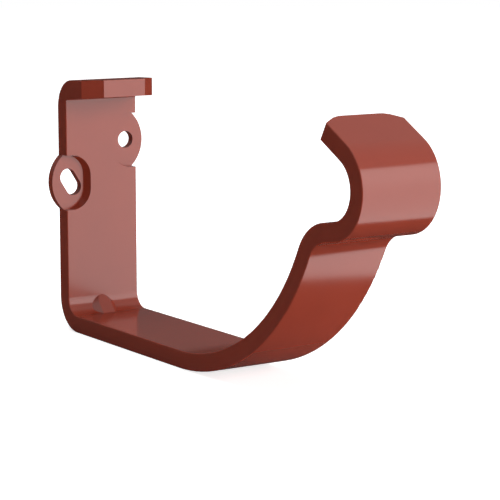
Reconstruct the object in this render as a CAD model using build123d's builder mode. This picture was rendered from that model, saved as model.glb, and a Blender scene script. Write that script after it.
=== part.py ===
"""Gutter bracket: one flat steel bar, folded to the outline of a moulded gutter.

+X points away from the wall, +Y runs along the gutter and +Z is up. The origin is on
the back face that meets the wall, in the middle of the bar's width, at the height
midway between the two screw ears.
"""
import os
from math import cos, radians, sqrt, tan

from build123d import *

# the bar
bar_width = 25.0
bar_thickness = 5.2
edge_radius = 0.3

# heights above the underside of the bracket's floor
fixing_height = 52.5
tab_corner_height = 72.4

# the top tab: its underside rises as it comes forward, its top is nearly level
tab_reach = 20.0
tab_under_angle = 5.2
tab_top_angle = 1.8
tab_outer_radius = 8.8
tab_inner_radius = 0.6
tab_cut_along = 4.5
tab_cut_across = 5.3

# the fold at the foot of the back plate and the gutter's flat floor
foot_inner_radius = 5.0
floor_length = 60.6

# the moulded front: one long sweep upwards, a reverse bend and a short ledge
front_inner_radius = 65.3
front_sweep_angle = 64.6
reverse_outer_radius = 9.0
ledge_rise_angle = 8.0
ledge_length = 4.1

# the hook around the gutter's bead, and the tongue that ends it
hook_inner_radius = 8.4
hook_wrap_angle = 142.9
tongue_side_length = 9.5
tongue_cut_along = 2.7
tongue_cut_across = 4.45
tongue_corner_radius = 7.5

# the two pressed screw ears, one low on the -Y edge and one high on the +Y edge
ear_spacing = 12.2
ear_thickness = 2.6
ear_radius = 11.3
ear_overhang = 3.65
pocket_corner_radius = 6.65
pocket_straight_length = 3.85
pocket_corner_inset = 1.9
pocket_lean = 1.2
screw_hole_diameter = 5.3
screw_hole_inset = 2.35
slot_width = 5.4
slot_travel = 3.6
slot_angle = -58.0
slot_inset = 2.85

# the rib that a wedge pressed into the foot fold to stiffen it, a little off the middle
rib_offset = -0.6
rib_width = 4.2
rib_draft_angle = 53.0
rib_recess_radius = 3.2

# values that follow from the sizes above
half_width = bar_width / 2
underside_z = -fixing_height
floor_top_z = underside_z + bar_thickness
tab_corner_z = underside_z + tab_corner_height
tab_under_z = tab_corner_z + (tab_reach - bar_thickness) * tan(radians(tab_under_angle))
tab_front_z = tab_under_z + bar_thickness
tab_back_z = tab_front_z - tab_reach * tan(radians(tab_top_angle))
fold_x = bar_thickness + foot_inner_radius
fold_z = floor_top_z + foot_inner_radius
tongue_length = tongue_side_length + tongue_cut_along
reverse_angle = front_sweep_angle - ledge_rise_angle
pocket_depth = bar_thickness - ear_thickness
pocket_slant = sqrt(pocket_depth**2 + pocket_lean**2)
foot_outer_radius = foot_inner_radius + bar_thickness
rib_flat_distance = foot_inner_radius * cos(radians(45))
rib_rise = foot_inner_radius - rib_flat_distance

with BuildPart() as gutter_bracket:
    # side outline: the face that holds the gutter, given the bar's thickness
    with BuildSketch(Plane.XZ) as side_outline:
        with BuildLine():
            plate = Line((bar_thickness, tab_corner_z), (bar_thickness, fold_z))
            foot = JernArc(plate @ 1, plate % 1, foot_inner_radius, 90)
            floor = Line(foot @ 1, foot @ 1 + Vector(floor_length, 0))
            front = JernArc(floor @ 1, floor % 1, front_inner_radius, front_sweep_angle)
            reverse = JernArc(front @ 1, front % 1, reverse_outer_radius + bar_thickness, -reverse_angle)
            ledge = Line(reverse @ 1, reverse @ 1 + (reverse % 1) * ledge_length)
            hook = JernArc(ledge @ 1, ledge % 1, hook_inner_radius, hook_wrap_angle)
            tongue = Line(hook @ 1, hook @ 1 + (hook % 1) * tongue_length)
            offset(amount=bar_thickness, side=Side.RIGHT)
        make_face()
        # the tab at the top of the back plate
        with BuildLine():
            Polyline(
                (bar_thickness, tab_corner_z),
                (tab_reach, tab_under_z),
                (tab_reach, tab_front_z),
                (0, tab_back_z),
                (0, tab_corner_z),
                close=True,
            )
        make_face()
        fillet(side_outline.vertices().sort_by_distance((0, tab_back_z))[0], tab_outer_radius)
        fillet(side_outline.vertices().sort_by_distance((bar_thickness, tab_corner_z))[0], tab_inner_radius)
    extrude(amount=half_width, both=True)

    # both front corners of the tab are cut off
    tab_front = gutter_bracket.faces().sort_by_distance((tab_reach, 0, (tab_under_z + tab_front_z) / 2))[0]
    chamfer(tab_front.edges().filter_by(Axis.Z), tab_cut_across, tab_cut_along, reference=tab_front)

    # both corners of the tongue are cut off, and each cut runs into the end in a curve
    tongue_tip = tongue @ 1 + (tongue % 1).rotate(Axis.Z, -90) * bar_thickness / 2
    tongue_tip = Plane.XZ.from_local_coords(tongue_tip)
    tongue_end = gutter_bracket.faces().sort_by_distance(tongue_tip)[0]
    across = tongue_end.edges().filter_by(Axis.Y, reverse=True)
    chamfer(across, tongue_cut_across, tongue_cut_along, reference=tongue_end)
    tongue_end = gutter_bracket.faces().sort_by_distance(tongue_tip)[0]
    fillet(tongue_end.edges().filter_by(Axis.Y, reverse=True), tongue_corner_radius)

    # the bar's two edges are rounded a little all the way round
    fillet(gutter_bracket.faces().filter_by(Axis.Y).edges(), edge_radius)

    # each screw ear is half the bar's thickness and bulges out beyond the bar's edge
    for side in (-1, 1):
        ear_z = side * ear_spacing / 2
        pocket_y = side * (half_width - pocket_corner_inset)
        with BuildSketch(Plane.YZ.offset(bar_thickness)):
            with Locations((pocket_y, ear_z)):
                SlotCenterToCenter(pocket_straight_length, 2 * pocket_corner_radius, rotation=90)
            with Locations((pocket_y + side * pocket_corner_radius / 2, ear_z)):
                Rectangle(pocket_corner_radius, pocket_straight_length + 2 * pocket_corner_radius)
        extrude(amount=pocket_slant, dir=(-pocket_depth, side * pocket_lean, 0), mode=Mode.SUBTRACT)
        with BuildSketch(Plane.YZ):
            with Locations((side * (half_width + ear_overhang - ear_radius), ear_z)):
                Circle(ear_radius)
        extrude(amount=ear_thickness)

    # a slanted slot in the low ear and a round hole in the high one
    with BuildSketch(Plane.YZ):
        with Locations((slot_inset - half_width, -ear_spacing / 2)):
            SlotCenterToCenter(slot_travel, slot_width, rotation=slot_angle)
        with Locations((half_width - screw_hole_inset, ear_spacing / 2)):
            Circle(screw_hole_diameter / 2)
    extrude(amount=bar_thickness, mode=Mode.SUBTRACT)

    # the rib: a flat between the two ends of the foot fold, with sloping sides and a round top
    fold_middle = Plane((fold_x, rib_offset, fold_z), x_dir=(0, 1, 0), z_dir=(-1, 0, -1))
    with BuildSketch(fold_middle.offset(rib_flat_distance)):
        Ellipse(rib_width / 2, rib_flat_distance + edge_radius / 2)
        with Locations((0, (rib_flat_distance + edge_radius) / 2)):
            Rectangle(rib_width, rib_flat_distance + edge_radius)
    extrude(amount=1.5 * rib_rise, taper=-rib_draft_angle)
    # and the round recess that the press left behind it
    with BuildSketch(fold_middle.offset(foot_outer_radius - rib_rise)):
        Circle(rib_recess_radius)
    extrude(amount=foot_outer_radius, mode=Mode.SUBTRACT)

gutter_bracket.part.label = "gutter_bracket"
os.makedirs("parts", exist_ok=True)
export_step(gutter_bracket.part, "parts/gutter_bracket.step")
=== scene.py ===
"""Looks of the gutter bracket: a folded steel bar with a red-brown powder coat, in a plain studio.

Every length is in metres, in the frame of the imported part: +X points away from the wall,
+Y runs along the gutter and +Z is up. The bracket stands on the flat floor of its own fold.
"""

from __future__ import annotations

import logging
from dataclasses import dataclass, field
from enum import Enum
from math import cos, pi, radians, sin
from typing import Any

import bpy
import numpy as np
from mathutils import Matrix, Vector


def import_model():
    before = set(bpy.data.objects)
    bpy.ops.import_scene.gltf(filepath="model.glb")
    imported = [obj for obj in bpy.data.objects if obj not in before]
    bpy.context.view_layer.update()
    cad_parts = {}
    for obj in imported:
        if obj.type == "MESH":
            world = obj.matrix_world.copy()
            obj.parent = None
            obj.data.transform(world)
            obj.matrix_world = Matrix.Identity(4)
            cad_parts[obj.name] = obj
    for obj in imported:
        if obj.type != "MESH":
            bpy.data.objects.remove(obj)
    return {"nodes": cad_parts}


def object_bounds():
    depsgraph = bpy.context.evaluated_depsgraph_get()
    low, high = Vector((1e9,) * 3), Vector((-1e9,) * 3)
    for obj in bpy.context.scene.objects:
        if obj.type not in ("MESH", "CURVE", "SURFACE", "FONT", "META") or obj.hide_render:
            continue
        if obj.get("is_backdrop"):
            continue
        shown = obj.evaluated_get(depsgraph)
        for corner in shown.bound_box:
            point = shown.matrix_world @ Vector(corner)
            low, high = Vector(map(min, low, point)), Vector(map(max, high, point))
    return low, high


log = logging.getLogger("gutter_bracket")

Colour = tuple[float, float, float]
WHITE = (1.0, 1.0, 1.0, 1.0)


class Maths(Enum):
    """The Math node's operations that shader expressions use."""

    ADD = "ADD"
    SUBTRACT = "SUBTRACT"
    MULTIPLY = "MULTIPLY"


class Value:
    """A number or colour that changes over a surface, as the output socket that gives it."""

    def __init__(self, bench: MaterialBench, socket: bpy.types.NodeSocket | None) -> None:
        """Wraps a socket.

        Args:
            bench: the bench whose nodes the socket belongs to.
            socket: the output socket, or None for a node that ends the tree.
        """
        self.bench = bench
        self.socket = socket

    def _maths(self, operation: Maths, first: Value | float, second: Value | float) -> Value:
        """Adds one Math node.

        Args:
            operation: what the node does.
            first: its first value.
            second: its second value.

        Returns:
            The node's result.
        """
        values = {0: first, 1: second}
        return self.bench.node("ShaderNodeMath", {"operation": operation.value}, values)

    def __add__(self, other: Value | float) -> Value:
        """Returns self + other."""
        return self._maths(Maths.ADD, self, other)

    def __radd__(self, other: float) -> Value:
        """Returns other + self."""
        return self._maths(Maths.ADD, other, self)

    def __sub__(self, other: Value | float) -> Value:
        """Returns self - other."""
        return self._maths(Maths.SUBTRACT, self, other)

    def __rsub__(self, other: float) -> Value:
        """Returns other - self."""
        return self._maths(Maths.SUBTRACT, other, self)

    def __mul__(self, other: Value | float) -> Value:
        """Returns self * other."""
        return self._maths(Maths.MULTIPLY, self, other)

    def __rmul__(self, other: float) -> Value:
        """Returns other * self."""
        return self._maths(Maths.MULTIPLY, other, self)


class MaterialBench:
    """A place where the nodes of one material or world are put together."""

    def __init__(self, tree: bpy.types.NodeTree) -> None:
        """Empties a node tree to work in.

        Args:
            tree: the material's or world's node tree.
        """
        tree.nodes.clear()
        self.tree = tree

    def node(
        self,
        kind: str,
        settings: dict[str, Any] | None = None,
        inputs: dict[str | int, Any] | None = None,
        output: str | int = 0,
    ) -> Value:
        """Adds any node.

        Args:
            kind: the node's type.
            settings: its properties, which are set first.
            inputs: by socket name or number, a Value to link or a number or colour to set.
            output: the output socket to hand back, by name or number.

        Returns:
            The chosen output.
        """
        made = self.tree.nodes.new(kind)
        for name, setting in (settings or {}).items():
            setattr(made, name, setting)
        for name, given in (inputs or {}).items():
            if isinstance(given, Value):
                self.tree.links.new(given.socket, made.inputs[name])
            else:
                made.inputs[name].default_value = given
        return Value(self, made.outputs[output] if len(made.outputs) else None)


@dataclass(frozen=True)
class Grain:
    """A soft noise in the object's own coordinates.

    Size is the length of one of its waves, detail and roughness are the Noise node's own.
    """

    size: float
    detail: float
    roughness: float

    def over(self, bench: MaterialBench, place: Value) -> Value:
        """Lays the noise over a surface.

        Args:
            bench: the bench to add the node to.
            place: the object's coordinates.

        Returns:
            The noise, from 0 to 1.
        """
        return bench.node(
            "ShaderNodeTexNoise",
            {},
            {
                "Vector": place,
                "Scale": 1 / self.size,
                "Detail": self.detail,
                "Roughness": self.roughness,
            },
        )


@dataclass(frozen=True)
class PowderCoat:
    """A smooth, half-glossy coat of baked powder paint, red-brown all through."""

    name: str = "powder_coat"
    colour: Colour = (0.34, 0.048, 0.0235)
    shade: Colour = (0.31, 0.0425, 0.0208)
    ior: float = 1.8
    roughness: float = 0.165
    roughness_play: float = 0.03
    cloud: Grain = Grain(size=0.011, detail=3.0, roughness=0.55)
    skin: Grain = Grain(size=0.0016, detail=1.0, roughness=0.4)
    skin_height: float = 0.0000022
    grit: Grain = Grain(size=0.0003, detail=1.0, roughness=0.5)
    grit_height: float = 0.0000003

    def material(self) -> bpy.types.Material:
        """Makes the coat's material.

        The colour drifts a little between two near tones in soft clouds. The skin of the coat has
        the faint long waves of melted powder with a finer grit on them, and both are a height that
        the Bump node reads. The roughness follows the same clouds.

        Returns:
            The material.
        """
        coat = bpy.data.materials.new(self.name)
        coat.use_nodes = True
        bench = MaterialBench(coat.node_tree)
        place = bench.node("ShaderNodeTexCoord", output="Object")
        cloud = self.cloud.over(bench, place)
        skin = self.skin.over(bench, place)
        grit = self.grit.over(bench, place)
        colour = bench.node(
            "ShaderNodeMix",
            {"data_type": "RGBA", "blend_type": "MIX"},
            {0: cloud, 6: (*self.shade, 1.0), 7: (*self.colour, 1.0)},
            output=2,
        )
        height = skin * self.skin_height + grit * self.grit_height
        relief = bench.node(
            "ShaderNodeBump", {}, {"Height": height, "Distance": 1.0, "Strength": 1.0}
        )
        lowest = self.roughness - self.roughness_play / 2
        surface = bench.node(
            "ShaderNodeBsdfPrincipled",
            {},
            {
                "Base Color": colour,
                "Roughness": cloud * self.roughness_play + lowest,
                "Normal": relief,
                "IOR": self.ior,
            },
        )
        bench.node("ShaderNodeOutputMaterial", {}, {"Surface": surface})
        return coat


@dataclass(frozen=True)
class StudioPaper:
    """The plain pale paper under the bracket, which shows white to the camera and keeps the shadow.

    Lift is the light added for the camera's own rays near the bracket. It grows to full white
    between the distances white_from and white_to.
    """

    name: str = "studio_paper"
    colour: Colour = (0.80, 0.80, 0.80)
    lift: float = 0.76
    white_from: float = 0.12
    white_to: float = 0.34

    def material(self, middle: Vector) -> bpy.types.Material:
        """Makes the paper's material: a matt white, and for the camera's own rays a little more.

        The added light grows with the distance from the middle, so that the paper runs into the
        white behind it without an edge.

        Args:
            middle: the point that the distance is taken from.

        Returns:
            The material.
        """
        paper = bpy.data.materials.new(self.name)
        paper.use_nodes = True
        bench = MaterialBench(paper.node_tree)
        seen = bench.node("ShaderNodeLightPath", output="Is Camera Ray")
        place = bench.node("ShaderNodeTexCoord", output="Object")
        away = bench.node(
            "ShaderNodeVectorMath",
            {"operation": "DISTANCE"},
            {0: place, 1: tuple(middle)},
            output="Value",
        )
        far = bench.node(
            "ShaderNodeMapRange",
            {"interpolation_type": "SMOOTHSTEP"},
            {
                "Value": away,
                "From Min": self.white_from,
                "From Max": self.white_to,
                "To Min": self.lift,
                "To Max": 1.0,
            },
        )
        matt = bench.node("ShaderNodeBsdfDiffuse", {}, {"Color": (*self.colour, 1.0)})
        glow = bench.node("ShaderNodeEmission", {}, {"Color": WHITE, "Strength": seen * far})
        both = bench.node("ShaderNodeAddShader", {}, {0: matt, 1: glow})
        bench.node("ShaderNodeOutputMaterial", {}, {"Surface": both})
        return paper


class Reach(Enum):
    """What a lamp's light does on the bracket."""

    MATT = "lights the matt layer only"
    SHINE = "shines in the coat only"


@dataclass(frozen=True, kw_only=True)
class SoftLamp:
    """A flat soft lamp that the camera doesn't see.

    Azimuth is turned from +X towards +Y. Distance is taken from the studio's aim, or on the floor
    from the point right under it. Radiance 1 is as bright as a sheet that shows full white.
    """

    name: str
    reach: Reach
    azimuth: float
    distance: float
    width: float
    height: float
    radiance: float

    def lamp(self) -> bpy.types.Object:
        """Makes the lamp, which still lies at the scene's origin and shines down.

        Returns:
            The lamp.
        """
        light = bpy.data.lights.new(self.name, "AREA")
        light.shape = "RECTANGLE"
        light.size, light.size_y = self.width, self.height
        light.energy = self.radiance * pi * self.width * self.height
        lamp = bpy.data.objects.new(self.name, light)
        lamp.visible_camera = False
        lamp.visible_glossy = self.reach is Reach.SHINE
        lamp.visible_diffuse = self.reach is Reach.MATT
        bpy.context.scene.collection.objects.link(lamp)
        return lamp


@dataclass(frozen=True, kw_only=True)
class SoftBox(SoftLamp):
    """A soft lamp that hangs in the air and faces the bracket."""

    elevation: float

    def hang(self, aim: Vector) -> bpy.types.Object:
        """Hangs the lamp in the air and turns it to the aim.

        Args:
            aim: the point that it faces.

        Returns:
            The lamp.
        """
        lamp = self.lamp()
        a, e = radians(self.azimuth), radians(self.elevation)
        away = Vector((cos(a) * cos(e), sin(a) * cos(e), sin(e)))
        lamp.location = aim + away * self.distance
        lamp.rotation_mode = "QUATERNION"
        lamp.rotation_quaternion = away.to_track_quat("Z", "Y")
        return lamp


@dataclass(frozen=True, kw_only=True)
class FloorCard(SoftLamp):
    """A soft lamp that lies face up on the floor and works as a white card."""

    clearance: float = 0.0005

    def lay(self, middle: Vector) -> bpy.types.Object:
        """Lays the lamp just above the floor.

        Args:
            middle: the middle of the floor, right under the aim.

        Returns:
            The lamp.
        """
        lamp = self.lamp()
        a = radians(self.azimuth)
        x, y = middle.x + cos(a) * self.distance, middle.y + sin(a) * self.distance
        lamp.location = (x, y, middle.z + self.clearance)
        lamp.rotation_euler = (pi, 0.0, 0.0)
        return lamp


@dataclass
class Bracket:
    """The bracket itself: the CAD bar with its holes, folds and ears, under its coat."""

    node: str = "gutter_bracket"
    slot: str = "powder_coat"
    coat: PowderCoat = field(default_factory=PowderCoat)

    def dress(self, nodes: dict[str, bpy.types.Object]) -> bpy.types.Object:
        """Gives the CAD bar its coat.

        Args:
            nodes: the CAD nodes by name.

        Returns:
            The bar.
        """
        bar = nodes[self.node]
        coat = self.coat.material()
        if not bar.material_slots:
            bar.data.materials.append(coat)
        for material_slot in bar.material_slots:
            material_slot.material = coat
        return bar


@dataclass(frozen=True)
class Air:
    """The plain world: white to the camera's own rays, and to all others a dim grey.

    The grey goes from its value below to its value above where the upward part of a ray's
    direction goes from rise_from to rise_to.
    """

    name: str = "studio"
    below: float = 0.038
    above: float = 0.165
    rise_from: float = 0.05
    rise_to: float = 0.25

    def fill(self) -> None:
        """Makes the world and gives it to the scene."""
        world = bpy.data.worlds.new(self.name)
        world.use_nodes = True
        bench = MaterialBench(world.node_tree)
        seen = bench.node("ShaderNodeLightPath", output="Is Camera Ray")
        way = bench.node("ShaderNodeTexCoord", output="Generated")
        up = bench.node("ShaderNodeSeparateXYZ", {}, {0: way}, output="Z")
        grey = bench.node(
            "ShaderNodeMapRange",
            {"interpolation_type": "SMOOTHSTEP"},
            {
                "Value": up,
                "From Min": self.rise_from,
                "From Max": self.rise_to,
                "To Min": self.below,
                "To Max": self.above,
            },
        )
        strength = seen + (1.0 - seen) * grey
        air = bench.node("ShaderNodeBackground", {}, {"Color": WHITE, "Strength": strength})
        bench.node("ShaderNodeOutputWorld", {}, {"Surface": air})
        bpy.context.scene.world = world


@dataclass
class Viewpoint:
    """The camera, where the photograph was taken from.

    At azimuth 0 it looks along +Y, and azimuth turns it round its aim towards +X. Lens and
    sensor_width are in millimetres.
    """

    name: str = "camera"
    lens: float = 139.274
    sensor_width: float = 36.0
    azimuth: float = 56.257
    elevation: float = 9.1
    distance: float = 0.54816
    aim: Vector = field(default_factory=lambda: Vector((0.08242, 0.00435, -0.01827)))
    clip_start: float = 0.01
    clip_end: float = 20.0

    def put(self) -> bpy.types.Object:
        """Sets the camera up and gives it to the scene.

        Returns:
            The camera.
        """
        data = bpy.data.cameras.new(self.name)
        data.lens, data.sensor_width = self.lens, self.sensor_width
        data.clip_start, data.clip_end = self.clip_start, self.clip_end
        camera = bpy.data.objects.new(self.name, data)
        a, e = radians(self.azimuth), radians(self.elevation)
        back = Vector((sin(a) * cos(e), -cos(a) * cos(e), sin(e)))
        camera.location = self.aim + back * self.distance
        camera.rotation_mode = "QUATERNION"
        camera.rotation_quaternion = (-back).to_track_quat("-Z", "Y")
        bpy.context.scene.collection.objects.link(camera)
        bpy.context.scene.camera = camera
        return camera


@dataclass
class Studio:
    """The floor, the lamps, the plain world and the camera."""

    floor_radius: float = 3.0
    floor_rings: int = 24
    floor_spokes: int = 96
    paper: StudioPaper = field(default_factory=StudioPaper)
    aim: Vector = field(default_factory=lambda: Vector((0.0785, 0.0, -0.013)))
    boxes: tuple[SoftBox, ...] = (
        SoftBox(
            name="front_box", reach=Reach.SHINE, radiance=1.57,
            azimuth=47.5, elevation=-9.5, distance=1.15, width=1.02, height=2.17,
        ),
        SoftBox(
            name="high_box", reach=Reach.SHINE, radiance=0.22,
            azimuth=68, elevation=52, distance=1.20, width=1.70, height=0.56,
        ),
        SoftBox(
            name="near_box", reach=Reach.SHINE, radiance=0.46,
            azimuth=-77, elevation=54, distance=1.00, width=0.64, height=0.64,
        ),
        SoftBox(
            name="top_box", reach=Reach.MATT, radiance=3.15,
            azimuth=180, elevation=75, distance=0.80, width=0.60, height=0.53,
        ),
        SoftBox(
            name="fill_box", reach=Reach.MATT, radiance=4.5,
            azimuth=23, elevation=12, distance=2.0, width=2.1, height=1.5,
        ),
    )
    cards: tuple[FloorCard, ...] = (
        FloorCard(
            name="wide_card", reach=Reach.MATT, radiance=0.26,
            azimuth=43, distance=0.2275, width=0.30, height=0.32,
        ),
        FloorCard(
            name="small_card", reach=Reach.MATT, radiance=0.27,
            azimuth=22, distance=0.0395, width=0.06, height=0.05,
        ),
    )
    air: Air = field(default_factory=Air)
    viewpoint: Viewpoint = field(default_factory=Viewpoint)

    def floor(self, middle: Vector) -> bpy.types.Object:
        """Lays a round sheet of paper under the bracket.

        Ring r and spoke s meet at radius floor_radius * (r / rings) squared and at the angle of
        2 pi * s / spokes, so that the rings lie closer together near the bracket.

        Args:
            middle: the middle of the floor, at the height of the bracket's underside.

        Returns:
            The floor.
        """
        spokes = np.arange(self.floor_spokes)
        share = (np.arange(1, self.floor_rings + 1) / self.floor_rings) ** 2
        turn = spokes * 2 * pi / self.floor_spokes
        radius, angle = np.meshgrid(self.floor_radius * share, turn, indexing="ij")
        rim = np.stack([radius * np.cos(angle), radius * np.sin(angle), np.zeros_like(radius)], -1)
        points = np.vstack([np.zeros(3), rim.reshape(-1, 3)]) + middle[:]
        ring, spoke = np.meshgrid(np.arange(self.floor_rings - 1), spokes, indexing="ij")
        after = (spoke + 1) % self.floor_spokes
        inner = 1 + ring * self.floor_spokes
        outer = inner + self.floor_spokes
        quads = np.stack([inner + spoke, outer + spoke, outer + after, inner + after], -1)
        wedges = np.stack([0 * spokes, 1 + spokes, 1 + (spokes + 1) % self.floor_spokes], -1)
        mesh = bpy.data.meshes.new("floor")
        mesh.from_pydata(points.tolist(), [], quads.reshape(-1, 4).tolist() + wedges.tolist())
        mesh.materials.append(self.paper.material(middle))
        floor = bpy.data.objects.new("floor", mesh)
        floor.visible_glossy = False
        bpy.context.scene.collection.objects.link(floor)
        floor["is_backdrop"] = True
        return floor

    def build(self, floor_height: float) -> None:
        """Builds the whole studio.

        Args:
            floor_height: the height of the bracket's underside.
        """
        middle = Vector((self.aim.x, self.aim.y, floor_height))
        self.floor(middle)
        for box in self.boxes:
            box.hang(self.aim)
        for card in self.cards:
            card.lay(middle)
        self.air.fill()
        self.viewpoint.put()
        bpy.context.scene.view_settings.view_transform = "Standard"


def main() -> None:
    """Loads the frame, dresses the bracket and sets it in the studio."""
    logging.basicConfig(level=logging.INFO, format="%(name)s: %(message)s")
    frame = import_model()
    cad_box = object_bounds()
    bracket = Bracket().dress(frame["nodes"])
    log.info("%s dressed, %d faces", bracket.name, len(bracket.data.polygons))
    Studio().build(floor_height=cad_box[0].z)
    log.info("studio ready")


if __name__ == "__main__":
    main()
